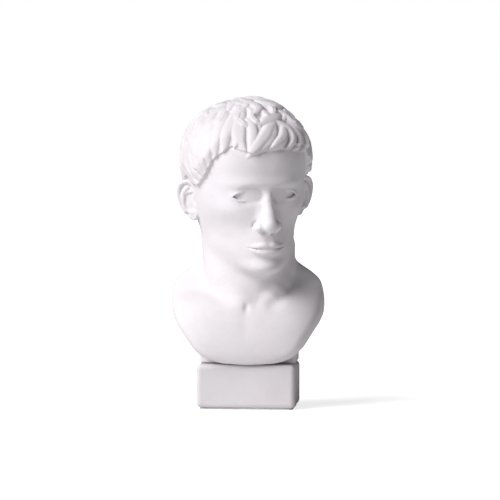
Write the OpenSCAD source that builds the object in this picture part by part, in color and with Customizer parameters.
// Classical portrait bust of a young man on a low block plinth.
// Every piece is in the frame of the whole object: millimetres, +Z up, the chest facing -Y,
// and the origin at the centre of the underside.

/* [Plinth] */
// Width of the plinth, left to right
plinth_w = 95; // [92:1:100]
// Depth of the plinth, front to back
plinth_d = 70; // [68:1:76]
// Height of the plinth block
plinth_h = 42; // [38:1:46]
// Radius of the plinth's worn edges
edge_r = 4.4; // [2:0.2:6]
// Thickness of the felt under the plinth
felt_t = 1.5; // [1:0.5:3]
// Distance from the felt's edge to the plinth's edge
felt_inset = 3; // [2:0.5:6]

/* [Bust] */
// Width across the shoulders
chest_w = 152; // [144:1:158]
// Height of the bare skull, crown to chin
skull_h = 156; // [150:1:158]
// Thickness of the hair over the skull
hair_t = 6.5; // [5:0.5:8]
// Turn of the head towards its own left
head_turn = 23; // [0:1:30]
// Tilt of the head towards its own right shoulder
head_roll = 2; // [0:0.5:4]
// Bow of the head, chin down
head_bow = 8.5; // [0:0.5:10]

/* [Fixing] */
// Diameter of the threaded rod
rod_d = 8; // [6:1:10]
// Depth of the rod's hole in the bust
anchor_depth = 70; // [50:1:80]
// Thickness of the mortar bed between bust and plinth
mortar_t = 0.8; // [0.5:0.1:1.5]
// Diameter of the locating dowels
dowel_d = 6; // [5:0.5:8]
// Length of the locating dowels
dowel_l = 30; // [24:1:36]

/* [Hidden] */

fine = 64;
ball_fn = 10;
body_sides = 40;
wave_h = 1.2;

// Angles and heights of the head's points, closer together over the face.
HEAD_ANGLES = [for (a = [0:3:66]) a, for (a = [74:11:294]) a, for (a = [297:3:357]) a];
HEAD_HEIGHTS = [-79, -76, for (z = [-73:2.5:-58]) z, for (z = [-56:2:-22]) z, for (z = [-19:3:14]) z,
                for (z = [18:4:66]) z, 69, 72, 74, 76, 77, 78];
plinth_top = felt_t + plinth_h;
bust_foot = plinth_top + mortar_t;

// The rod stands in the thick rear part of the bust, a little behind the plinth's centre.
rod_y = 10;
bore_gap = 0.5;
counterbore_d = 26;
counterbore_h = 17;
washer_t = 1.6;
washer_d = 3 * rod_d;
spring_t = 2;
nut_h = 0.8 * rod_d;
nut_af = 1.625 * rod_d;
rod_below_nut = 3;
dowel_x = 28;
resin_wall = 2;
fit_gap = 0.05;

// The mortar stops short of the edges of the support, whose front stands back from the chest's.
mortar_inset = 2;
support_front = plinth_d / 2 - 14;
support_rise = 22;
support_top = 88;

// Where the head sits: the middle of the eye line, and the middle of the torso's sections.
head_scale = skull_h / 156;
head_at = [-2.5, 5, bust_foot + 171.2];
torso_y = 16;
neck_y = 4;

// ---- Curves ---------------------------------------------------------------------------------

// Smooth value at height z from rows [z, ...], read from column c.
function hermite(p0, p1, p2, p3, t) =
    p1 + 0.5 * t * (p2 - p0 + t * (2 * p0 - 5 * p1 + 4 * p2 - p3 + t * (3 * (p1 - p2) + p3 - p0)));
function row_below(rows, z, i = 0) =
    (i >= len(rows) - 2 || rows[i + 1][0] > z) ? i : row_below(rows, z, i + 1);
function at(rows, z, c) =
    let (i = row_below(rows, z), last = len(rows) - 1)
    hermite(rows[max(i - 1, 0)][c], rows[i][c], rows[i + 1][c], rows[min(i + 2, last)][c],
            (z - rows[i][0]) / (rows[i + 1][0] - rows[i][0]));

// A soft bump of height a, centred at (x0, z0) on a surface, with spreads sx and sz.
function bump(x, z, x0, z0, sx, sz, a) = a * exp(-pow((x - x0) / sx, 2) / 2 - pow((z - z0) / sz, 2) / 2);
function step_up(t) = let (c = min(max(t, 0), 1)) c * c * (3 - 2 * c);
function signed_pow(v, p) = sign(v) * pow(abs(v), p);

// A point of an egg-shaped section: w half width, f front, b back, n squareness. Angle 0 faces -Y.
function egg(angle, w, f, b, n) =
    [w * signed_pow(sin(angle), 2 / n), -(cos(angle) > 0 ? f : b) * signed_pow(cos(angle), 2 / n)];
function egg_at(rows, angle, z) =
    egg(angle, at(rows, z, 1), at(rows, z, 2), at(rows, z, 3), at(rows, z, 4));

// Closed skin over rings that all have the same number of points, listed from the bottom up.
module skin(rings) {
    n = len(rings[0]);
    last = len(rings) - 1;
    points = [for (ring = rings) each ring];
    sides = [for (k = [0:last - 1]) for (i = [0:n - 1])
        let (j = (i + 1) % n, a = k * n, b = a + n)
        each [[a + i, b + j, a + j], [a + i, b + i, b + j]]];
    caps = [[for (i = [0:n - 1]) i], [for (i = [n - 1:-1:0]) last * n + i]];
    polyhedron(points = points, faces = concat(sides, caps), convexity = 6);
}

// ---- Head, in its own frame: eye line at 0, crown at 78, chin at -78, face towards -Y --------

// Height, half width, front, back and squareness of the bare head.
HEAD = [
    [-79, 17, 61, 10, 2.0], [-74, 27, 68, 22, 2.0], [-68, 33, 70, 34, 2.0], [-60, 38, 69, 40, 1.95],
    [-50, 42, 68.5, 46, 1.9], [-36, 46.5, 67, 53, 1.95], [-20, 50.5, 65, 61, 2.0],
    [-6, 53.5, 65, 66, 2.05], [8, 55, 65.8, 69.5, 2.1], [24, 56, 65.5, 71.5, 2.12],
    [38, 54.8, 62, 69.5, 2.1], [50, 50, 54.5, 62.5, 2.1], [60, 42.5, 45.5, 53, 2.05],
    [68, 33, 35, 41, 2.0], [74, 21.5, 22.5, 27, 2.0], [77, 11.5, 12, 14.5, 2.0], [78, 5, 5, 6, 2.0]];

// Height of the hair's edge at each angle from the front: fringe, temple, sideburn, ear and nape.
HAIRLINE = [[0, 41], [25, 44], [40, 41], [52, 24], [62, 10], [74, 3], [80, 3], [88, 7], [97, 8],
            [112, -6], [132, -40], [180, -50]];

function hair_depth(angle, z) =
    let (edge = lookup(angle > 180 ? 360 - angle : angle, HAIRLINE))
    hair_t * step_up((z - edge + 1) / 5);

// Brows, eye sockets, cheekbones, mouth and chin, as heights over the plain section.
function face_relief(x, z) =
    let (s = abs(x))
    bump(s, z, 20, 11, 11, 3.8, 3.2) - bump(s, z, 19, -1, 10, 7, 5.5) + bump(s, z, 35, -15, 9, 7, 3)
    + bump(s, z, 0, -46, 15, 11, 3.2) - bump(s, z, 33, -41, 9, 10, 2.2) + bump(s, z, 2, -70, 10, 6, 3.2)
    + nose(s, z) + lips(s, z) + eyeball(s, z);

// A straight ridge from the brow to the tip, with a wing on each side of its foot.
function nose(s, z) =
    let (down = min(max((12 - z) / 40, 0), 1), foot = step_up((z + 35) / 6))
    foot * (11.5 * down * exp(-pow(s / (4.6 + 3 * down), 2)) + bump(s, z, 9, -29, 3, 4, 4.5));

// Two rolls that taper towards the corners, with the line of the mouth between them.
function lips(s, z) =
    step_up((22 - s) / 14) * (bump(0, z, 0, -47.4, 1, 2.4, 2.4) + bump(0, z, 0, -54.2, 1, 2.8, 3)
                              - bump(0, z, 0, -50.6, 1, 1.1, 1.2));

// The bulge of the eye between its lids.
function eyeball(s, z) =
    let (inside = 1 - pow((s - 20.8) / 14, 2) - pow((z + 1.6) / 6.5, 2))
    inside > 0 ? 3.4 * sqrt(inside) : 0;

// Waves of the hair, combed forwards and down, highest over the forehead.
function hair_waves(angle, z) = wave_h * sin(angle * 24 + z * 7) * step_up((z - 20) / 20);

function head_ring(z) = [for (angle = HEAD_ANGLES)
    let (p = egg_at(HEAD, angle, z),
         hair = hair_depth(angle, z) * (1 + hair_waves(angle, z) / hair_t),
         grow = 1 + (hair + (p[1] < 0 ? face_relief(p[0], z) : 0)) / norm(p))
    [grow * p[0], grow * p[1], z + hair_depth(angle, z) * step_up((z - 30) / 48)]];

module skull() {
    difference() {
        skin([for (z = HEAD_HEIGHTS) head_ring(z)]);
        // Underside of the jaw, rising from the chin to the ear.
        translate([0, -64, -78]) rotate([-27, 0, 0]) translate([-60, 0, -60]) cube([120, 150, 60]);
    }
}

// Round bars through stations [x, y, z, radius].
module ball_chain(stations) {
    for (i = [0:len(stations) - 2]) hull() {
        translate([for (k = [0:2]) stations[i][k]]) sphere(r = stations[i][3], $fn = ball_fn);
        translate([for (k = [0:2]) stations[i + 1][k]]) sphere(r = stations[i + 1][3], $fn = ball_fn);
    }
}

module ear_disc(r) {
    rotate([0, 90, 0]) cylinder(r = r, h = 3.5, center = true, $fn = 20);
}

// A thin oval shell, hollowed in front, that stands out from the side of the head.
module ear(side) {
    translate([side * 56, 4, -15]) rotate([-10, 0, -side * 46]) difference() {
        hull() {
            translate([0, 3, 9]) ear_disc(11.5);
            translate([0, -2, -14]) ear_disc(6);
            translate([-side * 10, -3, -1]) ear_disc(9);
        }
        translate([side * 5, 1, 3]) sphere(r = 7.5, $fn = ball_fn);
    }
}

// Comma locks in rows from the fringe back over the forehead, thick at the root, tips turned aside.
module locks() {
    for (row = [0:2]) for (i = [-3:3]) {
        angle = (i + (row % 2) / 2) * 14;
        z = 46 + 10 * row;
        bend = angle < 12 ? 1 : -1;
        p = egg_at(HEAD, angle, z);
        back = egg_at(HEAD, angle, z + 9);
        reach = 1 + (hair_t - 3.5) / norm(p);
        ball_chain([[reach * back[0] - bend, reach * back[1], z + 10, 3.5],
                    [reach * p[0], reach * p[1], z + 1, 5],
                    [reach * p[0] + 3 * bend, reach * p[1] - 1, z - 5, 3.6],
                    [reach * p[0] + 6.5 * bend, reach * p[1] - 0.5, z - 7.5, 1.8]]);
    }
}

module head() {
    skull();
    ear(-1);
    ear(1);
    locks();
}

// ---- Neck, chest and rear support, as heights over the foot of the bust ----------------------

// Height, half width, front, back and squareness of the torso.
TORSO = [
    [0, 21, 50, 18, 2.6], [1.5, 29, 52.5, 18, 2.6], [3, 34, 54.5, 18.2, 2.6], [8, 44.5, 58.5, 18.7, 2.7],
    [14, 50.5, 60.8, 19.3, 2.9], [22, 56.5, 61.6, 20.6, 3.0], [36, 66.8, 61, 24, 3.0], [46, 72.3, 59, 26, 2.8],
    [55, 75.3, 55, 28, 2.6], [62, 76, 46.5, 29.5, 2.4], [68, 75, 36, 30.5, 2.2], [74, 73, 28, 31, 2.15],
    [80, 69.3, 22.5, 31.5, 2.1], [86, 62.8, 19.5, 31.8, 2.1], [91, 55.6, 18, 32, 2.05],
    [97, 47.5, 17, 32.2, 2.0], [103, 42.5, 16.5, 32.5, 2.0], [120, 38, 16, 32.5, 2.0],
    [141, 38, 16, 32.5, 2.0]];

// The same of the neck, a column of its own in front of the shoulders.
NECK = [
    [38, 6, 30, 30, 2.0], [45, 14, 37, 33, 2.0], [52, 24, 39.5, 38, 2.0], [60, 32, 39.5, 41, 2.0],
    [68, 37, 38.5, 43, 2.0], [77, 40, 37, 44, 2.0], [86, 41.5, 36, 44, 2.0], [98, 41.7, 35, 44, 2.0],
    [112, 41, 34, 44, 2.0], [141, 40, 34, 45, 2.0]];

// Collar bones, the notch between them and the swell of the chest.
function chest_relief(x, z) =
    let (s = abs(x))
    bump(s, z, 18, 52, 11, 4, 0.9) + bump(s, z, 42, 60, 15, 5, 1.3) - bump(x, z, 1.5, 54, 4, 4, 2)
    + bump(s, z, 32, 34, 20, 14, 0.6);

function torso_ring(z, segments) = [for (i = [0:segments - 1])
    let (p = egg_at(TORSO, 360 * i / segments, z),
         grow = 1 + (p[1] < 0 ? chest_relief(p[0], z) : 0) / norm(p))
    [grow * p[0] * chest_w / 152, grow * p[1] + torso_y, z + bust_foot]];

function neck_ring(z, segments) = [for (i = [0:segments - 1])
    let (p = egg_at(NECK, 360 * i / segments, z))
    [p[0] - 0.5, p[1] + neck_y, z + bust_foot]];

module torso() {
    heights = [0, 1.5, 3, 5, 8, 12, for (z = [17:5:102]) z, 112, 126, 141];
    skin([for (z = heights) torso_ring(z, body_sides)]);
}

module neck() {
    heights = [38, for (z = [42:5:92]) z, 100, 112, 126, 141];
    skin([for (z = heights) neck_ring(z, body_sides)]);
}

// Neck muscles, from behind each ear to the notch at the collar bones.
module neck_muscles() {
    translate([0, neck_y, bust_foot]) {
        ball_chain([[-34, 8, 112, 7], [-22, -19, 82, 7.5], [-5, -33, 58, 5.5]]);
        ball_chain([[34, 12, 112, 7.5], [30, -10, 82, 8], [17, -31, 54, 6]]);
    }
}

// The block that carries the chest, as wide as the plinth, running up into the back.
module rear_support() {
    half_w = plinth_w / 2 - 0.8;
    back = plinth_d / 2 - 2;
    slab = 1;
    shoulder_front = 8;
    top_w = 44;
    top_back = back + 3;
    hull() {
        translate([-half_w, -support_front, bust_foot]) cube([2 * half_w, support_front + back, slab]);
        translate([-half_w, -shoulder_front, bust_foot + support_rise])
            cube([2 * half_w, shoulder_front + back, slab]);
        translate([-top_w / 2, 0, bust_foot + support_top]) cube([top_w, top_back, slab]);
    }
}

module bust() {
    color("ghostwhite") difference() {
        union() {
            translate(head_at) rotate([0, 0, head_turn]) rotate([head_bow, -head_roll, 0])
                scale(head_scale) head();
            torso();
            neck();
            neck_muscles();
            rear_support();
        }
        translate([0, rod_y, bust_foot - 1])
            cylinder(d = rod_d + 2 * resin_wall + 4 * fit_gap, h = anchor_depth + 1, $fn = fine);
        dowel_places() translate([0, 0, bust_foot - 1])
            cylinder(d = dowel_d + bore_gap, h = dowel_l / 2 + 2, $fn = 32);
    }
}

// ---- Plinth and fixings ----------------------------------------------------------------------

module rounded_face(w, d, r) {
    square([w - 2 * r, d], center = true);
    square([w, d - 2 * r], center = true);
    for (x = [-1, 1]) for (y = [-1, 1])
        translate([x * (w / 2 - r), y * (d / 2 - r)]) circle(r = r, $fn = fine);
}

// A block whose edges are all rounded: the part that three rounded bars have in common.
module rounded_block(w, d, h, r) {
    intersection() {
        translate([0, 0, -h / 2]) linear_extrude(h) rounded_face(w, d, r);
        translate([0, d / 2, 0]) rotate([90, 0, 0]) linear_extrude(d) rounded_face(w, h, r);
        translate([-w / 2, 0, 0]) rotate([90, 0, 90]) linear_extrude(w) rounded_face(d, h, r);
    }
}

module dowel_places() {
    for (x = [-dowel_x, dowel_x]) translate([x, rod_y, 0]) children();
}

module plinth() {
    color("ghostwhite") difference() {
        translate([0, 0, felt_t + plinth_h / 2]) rounded_block(plinth_w, plinth_d, plinth_h, edge_r);
        translate([0, rod_y, 0]) cylinder(d = rod_d + bore_gap, h = plinth_top + 1, $fn = fine);
        translate([0, rod_y, 0]) cylinder(d = counterbore_d, h = felt_t + counterbore_h, $fn = fine);
        dowel_places() translate([0, 0, plinth_top - dowel_l / 2 - 1])
            cylinder(d = dowel_d + 2 * fit_gap, h = dowel_l, $fn = fine);
    }
}

// The bed under the support, with a round tongue under the chest.
module bedding_mortar() {
    w = plinth_w - 2 * edge_r;
    back = plinth_d / 2 - edge_r;
    front = mortar_inset - support_front;
    tongue_r = 20;
    color("gainsboro") difference() {
        translate([0, 0, plinth_top]) linear_extrude(mortar_t) {
            translate([-w / 2, front]) square([w, back - front]);
            translate([0, front + 6]) circle(r = tongue_r, $fn = fine);
        }
        translate([0, rod_y, plinth_top - 1])
            cylinder(d = rod_d + bore_gap, h = mortar_t + 2, $fn = fine);
        dowel_places() translate([0, 0, plinth_top - 1])
            cylinder(d = dowel_d + bore_gap, h = mortar_t + 2, $fn = fine);
    }
}

washer_z = felt_t + counterbore_h - washer_t;
spring_z = washer_z - spring_t;
nut_z = spring_z - nut_h;

module tie_rod() {
    foot = nut_z - rod_below_nut;
    color("silver") translate([0, rod_y, foot])
        cylinder(d = rod_d - 2 * fit_gap, h = bust_foot + anchor_depth - 3 - foot, $fn = fine);
}

module ring_piece(outer, inner, z, h) {
    translate([0, rod_y, z]) difference() {
        cylinder(d = outer, h = h, $fn = fine);
        translate([0, 0, -1]) cylinder(d = inner, h = h + 2, $fn = fine);
    }
}

module anchor_resin() {
    color("khaki") ring_piece(rod_d + 2 * resin_wall, rod_d, bust_foot, anchor_depth - 1);
}

module flat_washer() {
    color("silver") ring_piece(washer_d, rod_d + bore_gap, washer_z, washer_t);
}

// A split lock washer, its gap towards the front.
module spring_washer() {
    gap = 1.6;
    color("darkgray") difference() {
        ring_piece(1.85 * rod_d, rod_d + 0.2, spring_z, spring_t);
        translate([-gap / 2, rod_y - 1.5 * rod_d, spring_z - 1]) cube([gap, 1.5 * rod_d, spring_t + 2]);
    }
}

module hex_nut() {
    color("silver") translate([0, rod_y, nut_z]) difference() {
        cylinder(d = nut_af / cos(30), h = nut_h, $fn = 6);
        translate([0, 0, -1]) cylinder(d = rod_d, h = nut_h + 2, $fn = fine);
    }
}

module locating_dowels() {
    color("silver") dowel_places() translate([0, 0, plinth_top + mortar_t / 2 - dowel_l / 2])
        cylinder(d = dowel_d, h = dowel_l, $fn = fine);
}

module base_felt() {
    color("whitesmoke") linear_extrude(felt_t)
        rounded_face(plinth_w - 2 * felt_inset, plinth_d - 2 * felt_inset, 4);
}

bust();
plinth();
bedding_mortar();
tie_rod();
anchor_resin();
flat_washer();
spring_washer();
hex_nut();
locating_dowels();
base_felt();
